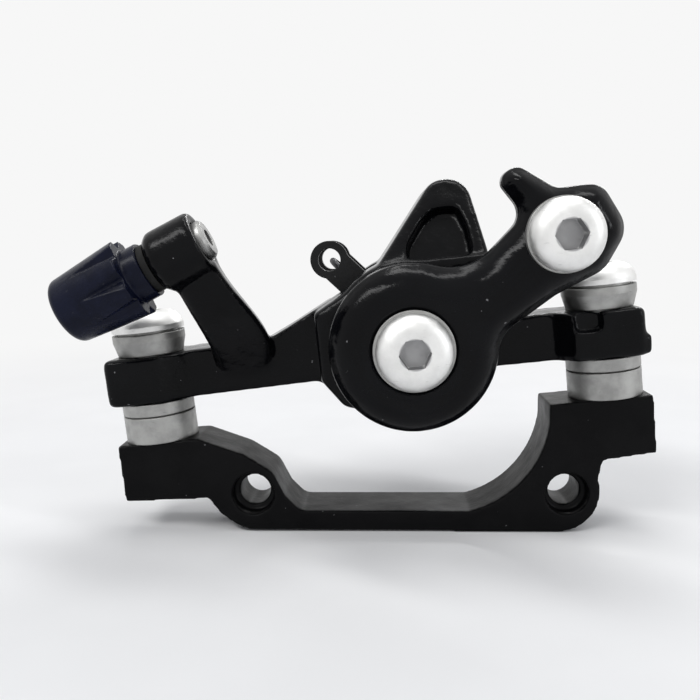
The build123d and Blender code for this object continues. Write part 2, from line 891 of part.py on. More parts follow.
# Inboard adjuster: threaded disc with a hexagon socket, sealed by a ring
with BuildPart() as inboard_adjuster:
    with BuildSketch(facing(adjuster_back)):
        with Locations(pivot):
            Circle(adjuster_r)
    extrude(amount=adjuster_back - far_pad_back)
    chamfer(edges().filter_by(GeomType.CIRCLE).group_by(Axis.Y)[-1], adjuster_chamfer)
    with BuildSketch(facing(adjuster_back)):
        with Locations(pivot):
            RegularPolygon(adjuster_socket / 2, 6, major_radius=False)
    extrude(amount=adjuster_socket_depth, mode=Mode.SUBTRACT)
    with BuildSketch(facing(ring_groove_back)):
        with Locations(pivot):
            Circle(adjuster_r + 1)
            Circle(adjuster_r - ring_groove_depth, mode=Mode.SUBTRACT)
    extrude(amount=ring_groove_width, mode=Mode.SUBTRACT)
save(inboard_adjuster, "inboard_adjuster")

with BuildPart() as adjuster_o_ring:
    with BuildSketch(facing(ring_groove_back - 0.1)):
        with Locations(pivot):
            Circle(adjuster_r + adjuster_gap - seat_gap)
            Circle(adjuster_r - ring_groove_depth + seat_gap, mode=Mode.SUBTRACT)
    extrude(amount=ring_groove_width - 0.2)
    fillet(edges(), 0.4)
save(adjuster_o_ring, "adjuster_o_ring")

# Corners of the lever's arm and how far each is rounded
lever_corners = [
    ((23.4, 30.1), 2.6),
    ((19.8, 35.5), 1.6),
    ((22.9, 37.1), 1.8),
    ((28.1, 33.3), 2.0),
    ((34.4, 33.4), 3.0),
    ((37.8, 26.7), 4.0),
    ((34.1, 21.2), 4.0),
    ((27.0, 18.3), 3.0),
]

# Inner corners of the hollow behind the cable anchor
hollow_corners = [(22.0, 19.8), (22.0, 26.5), (24.5, 31.7), (33.0, 31.7)]

# Lever arm: hub over the spindle, arm with a hooked tip and the cable anchor's eye
with BuildPart() as lever_arm:
    with BuildSketch(facing(arm_back)):
        with BuildLine():
            Polyline((10.0, 18.2), *[corner for corner, radius in lever_corners], (12.0, 9.3), close=True)
        make_face()
        with Locations(pivot):
            Circle(hub_r)
        fillet(vertices().sort_by_distance((14.0, 21.9))[0], 8.0)
        fillet(vertices().sort_by_distance((18.2, 12.0))[0], 5.0)
        for corner, radius in lever_corners:
            fillet(vertices().sort_by_distance(corner)[0], radius)
    extrude(amount=arm_back - lever_front)
    fillet(edges().group_by(Axis.Y)[0], lever_edge)
    with BuildSketch(facing(hub_back)):
        with Locations(pivot):
            Circle(hub_r)
    extrude(amount=hub_back - arm_back)
    # Spring recess round the sleeve, with an arc slot for the spring's leg
    with BuildSketch(facing(hub_back)):
        with Locations(pivot):
            Circle(recess_r)
            Circle(sleeve_r, mode=Mode.SUBTRACT)
    extrude(amount=hub_back - recess_floor, mode=Mode.SUBTRACT)
    with BuildSketch(facing(recess_floor)):
        with Locations(pivot):
            Circle(spring_r + spring_wire_r + 0.2)
            Circle(spring_r - spring_wire_r - 0.2, mode=Mode.SUBTRACT)
    extrude(amount=leg_slot_depth, mode=Mode.SUBTRACT)
    # Bore with two flats and the washer's counterbore
    with BuildSketch(at_tab(hub_back)):
        Circle(spindle_r + running_gap)
        Rectangle(3 * spindle_r, spindle_flats + 2 * running_gap, mode=Mode.INTERSECT)
    extrude(amount=hub_back - lever_front, mode=Mode.SUBTRACT)
    with BuildSketch(facing(washer_seat)):
        with Locations(pivot):
            Circle(pivot_washer_r + 0.3)
    extrude(amount=washer_seat - lever_front, mode=Mode.SUBTRACT)
    # Hollow behind the anchor for the nut, open towards the lower side
    with BuildSketch(facing(arm_back)):
        with BuildLine():
            Polyline(*hollow_corners, (40.0, 27.2), (38.0, 14.0), (22.0, 14.0), close=True)
        make_face()
        for corner in hollow_corners:
            fillet(vertices().sort_by_distance(corner)[0], hollow_corner)
    extrude(amount=arm_back - nut_front, mode=Mode.SUBTRACT)
    with BuildSketch(facing(arm_back)):
        with Locations(anchor):
            Circle(anchor_bolt_r + 0.3)
    extrude(amount=arm_back - lever_front, mode=Mode.SUBTRACT)
save(lever_arm, "lever_arm")

with BuildPart() as pivot_washer:
    with BuildSketch(facing(washer_seat)):
        with Locations(pivot):
            Circle(pivot_washer_r)
            Circle(pivot_bolt_r + 2 * running_gap, mode=Mode.SUBTRACT)
    extrude(amount=pivot_washer_height)
save(pivot_washer, "pivot_washer")

with BuildPart() as pivot_bolt:
    with BuildSketch(facing(pivot_bolt_end)):
        with Locations(pivot):
            Circle(pivot_bolt_r)
    extrude(amount=pivot_bolt_end - pivot_head_back)
    with BuildSketch(facing(pivot_head_back)):
        with Locations(pivot):
            Circle(pivot_head_r)
    extrude(amount=pivot_head_height)
    fillet(edges().filter_by(GeomType.CIRCLE).group_by(Axis.Y)[0], lever_head_dome)
    with BuildSketch(facing(pivot_head_back - pivot_head_height)):
        with Locations(pivot):
            RegularPolygon(lever_bolt_socket / 2, 6, major_radius=False)
    extrude(amount=-socket_depth, mode=Mode.SUBTRACT)
save(pivot_bolt, "pivot_bolt")

# Cable anchor: bolt, clamp washer in front of the lever, nut behind it
with BuildPart() as anchor_bolt:
    with BuildSketch(facing(anchor_end)):
        with Locations(anchor):
            Circle(anchor_bolt_r)
    extrude(amount=anchor_end - anchor_head_back)
    chamfer(edges().filter_by(GeomType.CIRCLE).group_by(Axis.Y)[-1], 0.5)
    with BuildSketch(facing(anchor_head_back)):
        with Locations(anchor):
            Circle(anchor_head_r)
    extrude(amount=anchor_head_height)
    fillet(edges().filter_by(GeomType.CIRCLE).group_by(Axis.Y)[0], lever_head_dome)
    with BuildSketch(facing(anchor_head_back - anchor_head_height)):
        with Locations(anchor):
            RegularPolygon(lever_bolt_socket / 2, 6, major_radius=False)
    extrude(amount=-socket_depth, mode=Mode.SUBTRACT)
save(anchor_bolt, "anchor_bolt")

with BuildPart() as anchor_washer:
    with BuildSketch(facing(lever_front)):
        with Locations(anchor):
            Circle(anchor_washer_r)
            Circle(anchor_bolt_r + 0.2, mode=Mode.SUBTRACT)
    extrude(amount=anchor_washer_height)
save(anchor_washer, "anchor_washer")

with BuildPart() as anchor_nut:
    with BuildSketch(facing(nut_front + nut_hex)):
        with Locations(anchor):
            RegularPolygon(nut_wide / 2, 6, major_radius=False)
    extrude(amount=nut_hex)
    with BuildSketch(facing(nut_back)):
        with Locations(anchor):
            Circle(nut_collar_r)
    extrude(amount=nut_back - nut_front)
    chamfer(edges().filter_by(GeomType.CIRCLE).group_by(Axis.Y)[-1], 0.5)
    with BuildSketch(facing(nut_back)):
        with Locations(anchor):
            Circle(anchor_bolt_r)
    extrude(amount=nut_back - nut_front, mode=Mode.SUBTRACT)
save(anchor_nut, "anchor_nut")

# Barrel adjuster in the cable stop: hollow screw, friction ring and fluted knob
with BuildPart() as adjuster_ring:
    with BuildSketch(along_stop(spigot_end - seat_gap)):
        Circle(ring_r + 0.4)
        Circle(screw_r + 2 * running_gap, mode=Mode.SUBTRACT)
    extrude(amount=neck_end - spigot_end + 2 * seat_gap)
save(adjuster_ring, "adjuster_ring")

with BuildPart() as adjuster_screw:
    with BuildSketch(along_stop(screw_end)):
        Circle(screw_r)
        Circle(screw_bore_r, mode=Mode.SUBTRACT)
    extrude(amount=screw_foot - screw_end)
    chamfer(edges().filter_by(GeomType.CIRCLE).sort_by_distance(along_stop(screw_end).origin)[0:2].sort_by(SortBy.RADIUS)[-1], 0.4)
save(adjuster_screw, "adjuster_screw")

# One flute of the knob: deep at the shoulder, fading towards the free end
with BuildPart() as knob_flute:
    with BuildSketch(along_stop(knob_shoulder + seat_gap)):
        with BuildLine():
            Polyline(
                (knob_near_r - flute_depth, 0),
                (knob_near_r + flute_depth, -flute_width),
                (knob_near_r + flute_depth, flute_width),
                close=True,
            )
        make_face()
    with BuildSketch(along_stop(flute_end)):
        with BuildLine():
            Polyline(
                (knob_near_r - flute_depth / 2, 0),
                (knob_near_r + flute_depth, -flute_depth),
                (knob_near_r + flute_depth, flute_depth),
                close=True,
            )
        make_face()
    loft()

stop_axis = Axis(along_stop(0).origin, along_stop(0).z_dir)

with BuildPart() as adjuster_knob:
    with BuildSketch(along_stop(knob_end)):
        Circle(knob_far_r)
    with BuildSketch(along_stop(knob_shoulder)):
        Circle(knob_near_r)
    loft()
    fillet(edges().sort_by_distance(along_stop(knob_end).origin)[0], knob_rounding)
    for number in range(flute_count):
        add(knob_flute.part.rotate(stop_axis, number * 360 / flute_count), mode=Mode.SUBTRACT)
    with BuildSketch(along_stop(knob_shoulder)):
        Circle(neck_r)
    extrude(amount=neck_end - knob_shoulder)
    with BuildSketch(along_stop(screw_foot)):
        Circle(screw_r)
    extrude(amount=neck_end - screw_foot, mode=Mode.SUBTRACT)
    with BuildSketch(along_stop(knob_end)):
        Circle(housing_seat_r)
    extrude(amount=housing_seat_depth, mode=Mode.SUBTRACT)
    with BuildSketch(along_stop(knob_end)):
        Circle(screw_bore_r)
    extrude(amount=screw_foot - knob_end, mode=Mode.SUBTRACT)
save(adjuster_knob, "adjuster_knob")
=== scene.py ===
import bmesh
import bpy
import json
import math
from mathutils import kdtree, Matrix, Vector

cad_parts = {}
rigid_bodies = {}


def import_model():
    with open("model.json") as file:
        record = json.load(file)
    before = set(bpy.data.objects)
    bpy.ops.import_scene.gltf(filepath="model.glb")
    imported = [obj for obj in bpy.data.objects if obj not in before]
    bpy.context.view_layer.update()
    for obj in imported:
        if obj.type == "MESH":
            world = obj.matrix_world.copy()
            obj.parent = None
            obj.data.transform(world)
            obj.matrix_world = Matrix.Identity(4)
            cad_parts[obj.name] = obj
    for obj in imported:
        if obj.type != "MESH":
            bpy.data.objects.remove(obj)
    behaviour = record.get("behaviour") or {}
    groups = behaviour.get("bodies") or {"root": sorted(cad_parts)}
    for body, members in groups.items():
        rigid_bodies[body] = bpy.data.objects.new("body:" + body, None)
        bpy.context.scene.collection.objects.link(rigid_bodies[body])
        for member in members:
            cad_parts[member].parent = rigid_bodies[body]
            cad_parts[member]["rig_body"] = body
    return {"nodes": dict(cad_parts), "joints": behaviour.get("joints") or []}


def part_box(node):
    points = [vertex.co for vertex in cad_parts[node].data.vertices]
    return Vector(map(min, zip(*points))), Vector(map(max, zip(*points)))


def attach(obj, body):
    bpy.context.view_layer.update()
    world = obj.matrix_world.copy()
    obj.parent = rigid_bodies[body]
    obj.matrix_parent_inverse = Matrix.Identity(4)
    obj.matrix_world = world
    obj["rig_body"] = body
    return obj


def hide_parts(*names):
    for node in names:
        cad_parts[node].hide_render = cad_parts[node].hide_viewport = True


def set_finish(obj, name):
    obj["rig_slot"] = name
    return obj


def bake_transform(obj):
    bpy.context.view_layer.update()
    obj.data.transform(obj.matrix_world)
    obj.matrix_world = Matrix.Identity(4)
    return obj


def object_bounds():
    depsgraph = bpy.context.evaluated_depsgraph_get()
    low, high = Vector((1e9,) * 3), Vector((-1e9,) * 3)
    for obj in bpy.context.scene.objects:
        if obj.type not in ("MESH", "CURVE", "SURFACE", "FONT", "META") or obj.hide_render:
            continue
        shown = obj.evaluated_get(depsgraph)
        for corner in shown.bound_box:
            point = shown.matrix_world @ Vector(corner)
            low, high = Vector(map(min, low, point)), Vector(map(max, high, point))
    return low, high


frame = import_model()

cad_low, cad_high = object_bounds()
nodes = frame["nodes"]
MM = 0.001
SEAM = 0.002 * MM

# Centres of the lever's pivot and of its cable anchor, in the row frame
joints = {joint["name"]: joint for joint in frame["joints"]}
PIVOT = Vector(joints["lever_swing"]["pos_m"])
anchor_low, anchor_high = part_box("anchor_washer")
ANCHOR = (Vector(anchor_low) + Vector(anchor_high)) / 2

# Detail and roughness of the noises
CLOUDY = (4, 0.6)
FINE = (3, 0.6)
PLAIN = (2, 0.5)

# Band of a noise that leaves only its lightest and darkest places flat
MIDDLE = (0.3, 0.7)

# Outer and inner radius of the soft edge of the painted shade in a bolt socket
SOCKET_SHADE_EDGE = (2.35 * MM, 2.1 * MM)

# The background, and the distances between which the floor fades to it
BACKGROUND = (0.93, 0.93, 0.93, 1)
FLOOR_FADE = (0.07, 0.30)


# ---------------------------------------------------------------- node helpers

def material(name):
    """A new node material with its Principled shader."""
    mat = bpy.data.materials.new(name)
    mat.use_nodes = True
    tree = mat.node_tree
    tree.nodes.clear()
    out = tree.nodes.new("ShaderNodeOutputMaterial")
    shader = tree.nodes.new("ShaderNodeBsdfPrincipled")
    tree.links.new(shader.outputs["BSDF"], out.inputs["Surface"])
    return mat, tree, shader


def place(tree, stretch=(1, 1, 1), shift=(0, 0, 0), turn=(0, 0, 0)):
    """Object coordinates, stretched, turned and shifted."""
    coord = tree.nodes.new("ShaderNodeTexCoord")
    mapping = tree.nodes.new("ShaderNodeMapping")
    mapping.inputs["Location"].default_value = shift
    mapping.inputs["Rotation"].default_value = turn
    mapping.inputs["Scale"].default_value = stretch
    tree.links.new(coord.outputs["Object"], mapping.inputs["Vector"])
    return mapping.outputs["Vector"]


def noise(tree, where, scale, detail, rough, distort=0.0):
    """Noise value with features about 1 / scale metres wide."""
    tex = tree.nodes.new("ShaderNodeTexNoise")
    tex.inputs["Scale"].default_value = scale
    tex.inputs["Detail"].default_value = detail
    tex.inputs["Roughness"].default_value = rough
    tex.inputs["Distortion"].default_value = distort
    tree.links.new(where, tex.inputs["Vector"])
    return tex.outputs[0]


def distance(tree, where):
    """Distance of a place from the origin of its coordinates."""
    node = tree.nodes.new("ShaderNodeVectorMath")
    node.operation = "LENGTH"
    tree.links.new(where, node.inputs[0])
    return node.outputs["Value"]


def band(tree, value, low, high, out_low=0.0, out_high=1.0):
    """Maps low..high of a value to out_low..out_high, clamped and smooth."""
    node = tree.nodes.new("ShaderNodeMapRange")
    node.interpolation_type = "SMOOTHSTEP"
    node.inputs["From Min"].default_value = low
    node.inputs["From Max"].default_value = high
    node.inputs["To Min"].default_value = out_low
    node.inputs["To Max"].default_value = out_high
    tree.links.new(value, node.inputs["Value"])
    return node.outputs["Result"]


def calc(tree, kind, a, b):
    """One math node on two values or sockets."""
    node = tree.nodes.new("ShaderNodeMath")
    node.operation = kind
    for index, value in enumerate((a, b)):
        if isinstance(value, (int, float)):
            node.inputs[index].default_value = value
        else:
            tree.links.new(value, node.inputs[index])
    return node.outputs[0]


def blend_colours(tree, factor, first, second):
    """Mix of two colours, each a tuple or a socket."""
    node = tree.nodes.new("ShaderNodeMix")
    node.data_type = "RGBA"
    tree.links.new(factor, node.inputs[0])
    for index, value in ((6, first), (7, second)):
        if isinstance(value, tuple):
            node.inputs[index].default_value = (*value, 1)
        else:
            tree.links.new(value, node.inputs[index])
    return node.outputs[2]


def over_colour(tree, mask, strength, below, above):
    """The colour above laid over the colour below where the mask is 1, at some strength."""
    return blend_colours(tree, calc(tree, "MULTIPLY", mask, strength), below, above)


def set_gloss(tree, shader, where, scale, detail, rough):
    """Roughness that wanders between two values."""
    gloss = band(tree, noise(tree, where, scale, *detail), *MIDDLE, *rough)
    tree.links.new(gloss, shader.inputs["Roughness"])


def raise_surface(tree, shader, layers, round_edges=0.0):
    """Stacks bump layers (height, strength, distance) over softly rounded edges."""
    normal = None
    if round_edges:
        edge = tree.nodes.new("ShaderNodeBevel")
        edge.samples = 6
        edge.inputs["Radius"].default_value = round_edges
        normal = edge.outputs["Normal"]
    for height, strength, lift in layers:
        bump = tree.nodes.new("ShaderNodeBump")
        bump.inputs["Strength"].default_value = strength
        bump.inputs["Distance"].default_value = lift
        tree.links.new(height, bump.inputs["Height"])
        if normal is not None:
            tree.links.new(normal, bump.inputs["Normal"])
        normal = bump.outputs["Normal"]
    tree.links.new(normal, shader.inputs["Normal"])


# ------------------------------------------------------------------- materials

def rough_cast_patch(tree, where):
    """Bump layer of generic rough cast behind the cable stop, on the inboard side."""
    coord = tree.nodes.new("ShaderNodeSeparateXYZ")
    tree.links.new(where, coord.inputs[0])
    side = band(tree, coord.outputs[0], -7.5 * MM, -9.5 * MM)
    depth = band(tree, coord.outputs[1], 16.5 * MM, 18.5 * MM)
    lumps = noise(tree, where, 520, 4, 0.65, distort=0.6)
    return calc(tree, "MULTIPLY", lumps, calc(tree, "MULTIPLY", side, depth)), 0.9, 1.1 * MM


def paint(name, dark, light, rough, shine, specks, swell, grain, edge=0.0, rough_cast=False):
    """Black paint: tone and gloss vary, with a slow swell, fine grain and pale dust specks."""
    mat, tree, shader = material(name)
    where = place(tree)
    tone = band(tree, noise(tree, where, 90, *CLOUDY), 0.35, 0.65)
    dust = band(tree, noise(tree, where, 1100, *PLAIN), 0.755, 0.78)
    colour = blend_colours(tree, tone, dark, light)
    colour = over_colour(tree, dust, specks, colour, (0.32, 0.32, 0.33))
    tree.links.new(colour, shader.inputs["Base Color"])
    set_gloss(tree, shader, where, 260, CLOUDY, rough)
    shader.inputs["Specular IOR Level"].default_value = shine
    layers = [
        (noise(tree, where, 220, 2, 0.4), 0.5, swell),
        (noise(tree, where, 1900, 3, 0.55), 0.5, grain),
    ]
    if rough_cast:
        layers.append(rough_cast_patch(tree, where))
    raise_surface(tree, shader, layers, edge)
    return mat


def plated(name, dark, light, rough, edge=0.0, grain=0.02 * MM, sockets=()):
    """Satin plated metal: cloudy tone, fine grain, small dull marks, and painted shade in the bolt
    sockets.
    """
    mat, tree, shader = material(name)
    where = place(tree)
    cloud = band(tree, noise(tree, where, 240, *CLOUDY), *MIDDLE)
    mark = band(tree, noise(tree, place(tree, stretch=(1, 1, 6)), 420, *FINE), 0.66, 0.72)
    colour = blend_colours(tree, cloud, dark, light)
    colour = over_colour(tree, mark, 0.35, colour, tuple(0.55 * c for c in dark))
    # Painted shade: the colour is darkened in a round patch about each socket's axis, where the recess
    # falls in shade
    for x, z in sockets:
        from_axis = distance(tree, place(tree, stretch=(1, 0, 1), shift=(-x, 0, -z)))
        shade = band(tree, from_axis, *SOCKET_SHADE_EDGE)
        colour = over_colour(tree, shade, 0.8, colour, (0.26, 0.26, 0.27))
    tree.links.new(colour, shader.inputs["Base Color"])
    shader.inputs["Metallic"].default_value = 1.0
    set_gloss(tree, shader, where, 700, FINE, rough)
    peened = noise(tree, where, 3200, *FINE)
    raise_surface(tree, shader, [(peened, 0.4, grain), (mark, 0.25, 0.03 * MM)], edge)
    return mat


def turned_disc(name):
    """Grey satin disc with turning rings round the pivot, crossing scratches and pits."""
    mat, tree, shader = material(name)
    rings = tree.nodes.new("ShaderNodeTexWave")
    rings.wave_type = "RINGS"
    rings.rings_direction = "Y"
    rings.inputs["Scale"].default_value = 900
    rings.inputs["Distortion"].default_value = 1.5
    tree.links.new(place(tree, shift=(-PIVOT.x, 0, -PIVOT.z)), rings.inputs["Vector"])
    where = place(tree)
    cloud = band(tree, noise(tree, where, 160, 5, 0.6), *MIDDLE)
    colour = blend_colours(tree, cloud, (0.33, 0.33, 0.315), (0.46, 0.46, 0.44))
    scratches = None
    for angle, stretch, scale in ((0.45, 18, 210), (-0.85, 22, 260), (1.25, 20, 230)):
        along = place(tree, stretch=(1, 1, stretch), turn=(0, angle, 0))
        line = band(tree, noise(tree, along, scale, 1, 0.4), 0.745, 0.77)
        scratches = line if scratches is None else calc(tree, "MAXIMUM", scratches, line)
    pits = band(tree, noise(tree, where, 1500, *PLAIN), 0.70, 0.74)
    colour = over_colour(tree, scratches, 0.75, colour, (0.13, 0.13, 0.13))
    colour = over_colour(tree, pits, 0.5, colour, (0.16, 0.16, 0.16))
    tree.links.new(colour, shader.inputs["Base Color"])
    shader.inputs["Metallic"].default_value = 0.85
    set_gloss(tree, shader, where, 500, FINE, (0.36, 0.52))
    layers = [
        (rings.outputs["Fac"], 0.25, 0.02 * MM),
        (scratches, -0.5, 0.05 * MM),
        (pits, -0.4, 0.05 * MM),
    ]
    raise_surface(tree, shader, layers, round_edges=0.2 * MM)
    return mat


def moulded(name, dark, light, rough, shine, grain, edge=0.0):
    """Moulded plastic or rubber: faint mottling, pale scuffs and a fine skin texture."""
    mat, tree, shader = material(name)
    where = place(tree)
    mottle = band(tree, noise(tree, where, 300, *CLOUDY), *MIDDLE)
    scuff = band(tree, noise(tree, place(tree, stretch=(1, 5, 1)), 700, *FINE), 0.68, 0.74)
    colour = blend_colours(tree, mottle, dark, light)
    colour = over_colour(tree, scuff, 0.25, colour, tuple(c + 0.08 for c in light))
    tree.links.new(colour, shader.inputs["Base Color"])
    set_gloss(tree, shader, where, 450, CLOUDY, rough)
    shader.inputs["Specular IOR Level"].default_value = shine
    raise_surface(tree, shader, [(noise(tree, where, 2400, *FINE), 0.4, grain)], edge)
    return mat


def friction(name):
    """Brake lining: dark binder with brassy and grey chips."""
    mat, tree, shader = material(name)
    where = place(tree)
    chips = tree.nodes.new("ShaderNodeTexVoronoi")
    chips.inputs["Scale"].default_value = 1300
    tree.links.new(where, chips.inputs["Vector"])
    pick = tree.nodes.new("ShaderNodeSeparateXYZ")
    tree.links.new(chips.outputs["Color"], pick.inputs[0])
    brass = band(tree, pick.outputs[0], 0.82, 0.86)
    grey = band(tree, pick.outputs[1], 0.8, 0.85)
    binder = band(tree, noise(tree, where, 500, *CLOUDY), *MIDDLE)
    colour = blend_colours(tree, binder, (0.055, 0.045, 0.04), (0.1, 0.085, 0.07))
    colour = blend_colours(tree, brass, colour, (0.36, 0.26, 0.12))
    colour = blend_colours(tree, grey, colour, (0.22, 0.22, 0.21))
    tree.links.new(colour, shader.inputs["Base Color"])
    shader.inputs["Roughness"].default_value = 0.85
    raise_surface(tree, shader, [(chips.outputs["Distance"], 0.5, 0.2 * MM)])
    return mat


casting_black = paint(
    "casting_black",
    dark=(0.0016, 0.0017, 0.0022),
    light=(0.0030, 0.0032, 0.0040),
    rough=(0.12, 0.24),
    shine=0.11,
    specks=0.6,
    swell=0.6 * MM,
    grain=0.07 * MM,
    rough_cast=True,
)
lever_black = paint(
    "lever_black",
    dark=(0.0016, 0.0017, 0.0023),
    light=(0.0030, 0.0032, 0.0042),
    rough=(0.10, 0.20),
    shine=0.11,
    specks=0.5,
    swell=0.5 * MM,
    grain=0.06 * MM,
)
bracket_black = paint(
    "bracket_black",
    dark=(0.0022, 0.0022, 0.0026),
    light=(0.0042, 0.0042, 0.0046),
    rough=(0.28, 0.40),
    shine=0.08,
    specks=0.3,
    swell=0.3 * MM,
    grain=0.05 * MM,
)
pad_steel = paint(
    "pad_steel",
    dark=(0.006, 0.006, 0.0065),
    light=(0.012, 0.012, 0.0125),
    rough=(0.34, 0.5),
    shine=0.2,
    specks=0.5,
    swell=0.2 * MM,
    grain=0.05 * MM,
    edge=0.2 * MM,
)

# Name, dark and light tone, roughness and softened edge of the plated metals
BOLT = ((0.72, 0.72, 0.71), (0.84, 0.84, 0.83), (0.42, 0.54), 0.2 * MM)
bolt_steel = plated("bolt_steel", *BOLT)
# Pivot and anchor bolts: the bolt steel with painted shade in their sockets
lever_bolt_steel_socket_shade = plated(
    "lever_bolt_steel_socket_shade", *BOLT, sockets=[(PIVOT.x, PIVOT.z), (ANCHOR.x, ANCHOR.z)]
)
# Washers: a darker steel than the bolts; the darkness is partly painted shade, standing in for their
# shaded sides
washer_steel = plated("washer_steel", (0.27, 0.27, 0.265), (0.40, 0.40, 0.39), (0.40, 0.52), 0.3 * MM)
nut_steel = plated("nut_steel", (0.30, 0.31, 0.32), (0.44, 0.45, 0.46), (0.26, 0.38), 0.3 * MM)
spindle_steel = plated("spindle_steel", (0.40, 0.40, 0.41), (0.52, 0.52, 0.53), (0.20, 0.30), 0.2 * MM)
screw_steel = plated("screw_steel", (0.22, 0.22, 0.22), (0.42, 0.42, 0.41), (0.34, 0.5), 0.2 * MM)
spring_steel = plated("spring_steel", (0.035, 0.035, 0.038), (0.075, 0.075, 0.08), (0.28, 0.4))
ball_chrome = plated("ball_chrome", (0.72, 0.72, 0.73), (0.80, 0.80, 0.81), (0.08, 0.14), grain=0.002 * MM)
bush_bronze = plated("bush_bronze", (0.46, 0.30, 0.13), (0.60, 0.42, 0.20), (0.34, 0.46), 0.1 * MM)

knob_plastic = moulded(
    "knob_plastic",
    dark=(0.0026, 0.0038, 0.0120),
    light=(0.0050, 0.0068, 0.0200),
    rough=(0.22, 0.34),
    shine=0.12,
    grain=0.03 * MM,
)
seal_rubber = moulded(
    "seal_rubber",
    dark=(0.006, 0.006, 0.006),
    light=(0.013, 0.013, 0.013),
    rough=(0.55, 0.7),
    shine=0.2,
    grain=0.05 * MM,
    edge=0.1 * MM,
)
cage_plastic = moulded(
    "cage_plastic",
    dark=(0.50, 0.46, 0.34),
    light=(0.60, 0.55, 0.42),
    rough=(0.4, 0.5),
    shine=0.5,
    grain=0.03 * MM,
    edge=0.1 * MM,
)
adjuster_disc = turned_disc("adjuster_disc")
lining = friction("lining")

# Material slot of the record, finish, and the nodes that wear it
washers = ["lower_cup_washers", "lower_ball_washers", "upper_cup_washers", "upper_ball_washers"]
finishes = [
    ("bracket_black", bracket_black, ["adapter_bracket"]),
    ("washer_steel", washer_steel, washers + ["pivot_washer", "anchor_washer"]),
    ("bolt_steel", bolt_steel, ["mounting_bolts"]),
    ("bolt_steel", lever_bolt_steel_socket_shade, ["pivot_bolt", "anchor_bolt"]),
    ("casting_black", casting_black, ["caliper_body"]),
    ("lever_black", lever_black, ["lever_arm"]),
    ("nut_steel", nut_steel, ["anchor_nut"]),
    ("spindle_steel", spindle_steel, ["thrust_washer", "drive_spindle", "pressure_piston"]),
    ("bush_bronze", bush_bronze, ["spindle_bush"]),
    ("seal_rubber", seal_rubber, ["dust_seal", "adjuster_o_ring", "adjuster_ring"]),
    ("spring_steel", spring_steel, ["return_spring", "pad_spring"]),
    ("cage_plastic", cage_plastic, ["ball_cage"]),
    ("ball_chrome", ball_chrome, ["ramp_balls"]),
    ("pad_steel", pad_steel, ["outboard_pad_plate", "inboard_pad_plate"]),
    ("lining", lining, ["outboard_pad_lining", "inboard_pad_lining"]),
    ("adjuster_disc", adjuster_disc, ["inboard_adjuster"]),
    ("screw_steel", screw_steel, ["adjuster_screw"]),
    ("knob_plastic", knob_plastic, ["adjuster_knob"]),
]
for slot_name, mat, names in finishes:
    for name in names:
        nodes[name].data.materials.clear()
        nodes[name].data.materials.append(mat)
        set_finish(nodes[name], slot_name)


# ----------------------------------------------------------------- new pieces

def welded(node):
    """A copy of the node's mesh, with a bmesh of it whose seams are closed."""
    mesh = nodes[node].data.copy()
    solid = bmesh.new()
    solid.from_mesh(mesh)
    bmesh.ops.remove_doubles(solid, verts=solid.verts, dist=SEAM)
    return mesh, solid


def new_object(name, mesh, solid):
    """Writes the bmesh into the mesh, and the mesh into the scene."""
    solid.to_mesh(mesh)
    solid.free()
    thing = bpy.data.objects.new(name, mesh)
    bpy.context.scene.collection.objects.link(thing)
    return thing


def softened(node, name, voxel, passes):
    """The node's solid with its edges worn round, as a new piece on the same body."""
    piece = new_object(name, *welded(node))
    remesh = piece.modifiers.new("voxels", "REMESH")
    remesh.mode = "VOXEL"
    remesh.voxel_size = voxel
    smooth = piece.modifiers.new("wear", "SMOOTH")
    smooth.factor = 0.5
    smooth.iterations = passes
    graph = bpy.context.evaluated_depsgraph_get()
    done = bpy.data.meshes.new_from_object(piece.evaluated_get(graph))
    piece.modifiers.clear()
    piece.data = done
    done.polygons.foreach_set("use_smooth", [True] * len(done.polygons))
    done.materials.clear()
    done.materials.append(nodes[node].data.materials[0])
    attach(piece, nodes[node]["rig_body"])
    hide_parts(node)
    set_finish(piece, nodes[node]["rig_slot"])
    return piece


def rolled_front(piece, front, thickness, width, drop, dish, bosses):
    """Rolls the rim of a plate's front back by drop, over width, and dishes its face.

    Each boss (x, z, reach) keeps its face flat, and its own rim sharp.
    """
    mesh = piece.data
    rim_depth = 1.6 * MM
    wall_slope = 0.6
    roll_power = 1.7
    dish_slope = 3
    smooth_passes = 5
    rim = [
        vertex.co
        for vertex in mesh.vertices
        if abs(vertex.normal.y) < wall_slope
        and vertex.co.y < front + rim_depth
        and all(math.hypot(vertex.co.x - x, vertex.co.z - z) > reach for x, z, reach in bosses)
    ]
    tree = kdtree.KDTree(len(rim))
    for index, point in enumerate(rim):
        tree.insert((point.x, 0, point.z), index)
    tree.balance()
    for vertex in mesh.vertices:
        depth = vertex.co.y - front
        if depth > thickness:
            continue
        inward = tree.find((vertex.co.x, 0, vertex.co.z))[2] / width
        roll = drop * max(0.0, 1 - inward) ** roll_power
        sink = dish * min(1.0, max(0.0, inward - 1.0) * dish_slope)
        for x, z, reach in bosses:
            away = math.hypot(vertex.co.x - x, vertex.co.z - z) - reach
            sink *= min(1.0, max(0.0, away / MM))
        vertex.co.y += (roll + sink) * (1 - depth / thickness)
    blend = bmesh.new()
    blend.from_mesh(mesh)
    axes = {"use_axis_x": True, "use_axis_y": True, "use_axis_z": True}
    for _ in range(smooth_passes):
        bmesh.ops.smooth_vert(blend, verts=blend.verts, factor=0.5, **axes)
    blend.to_mesh(mesh)
    blend.free()


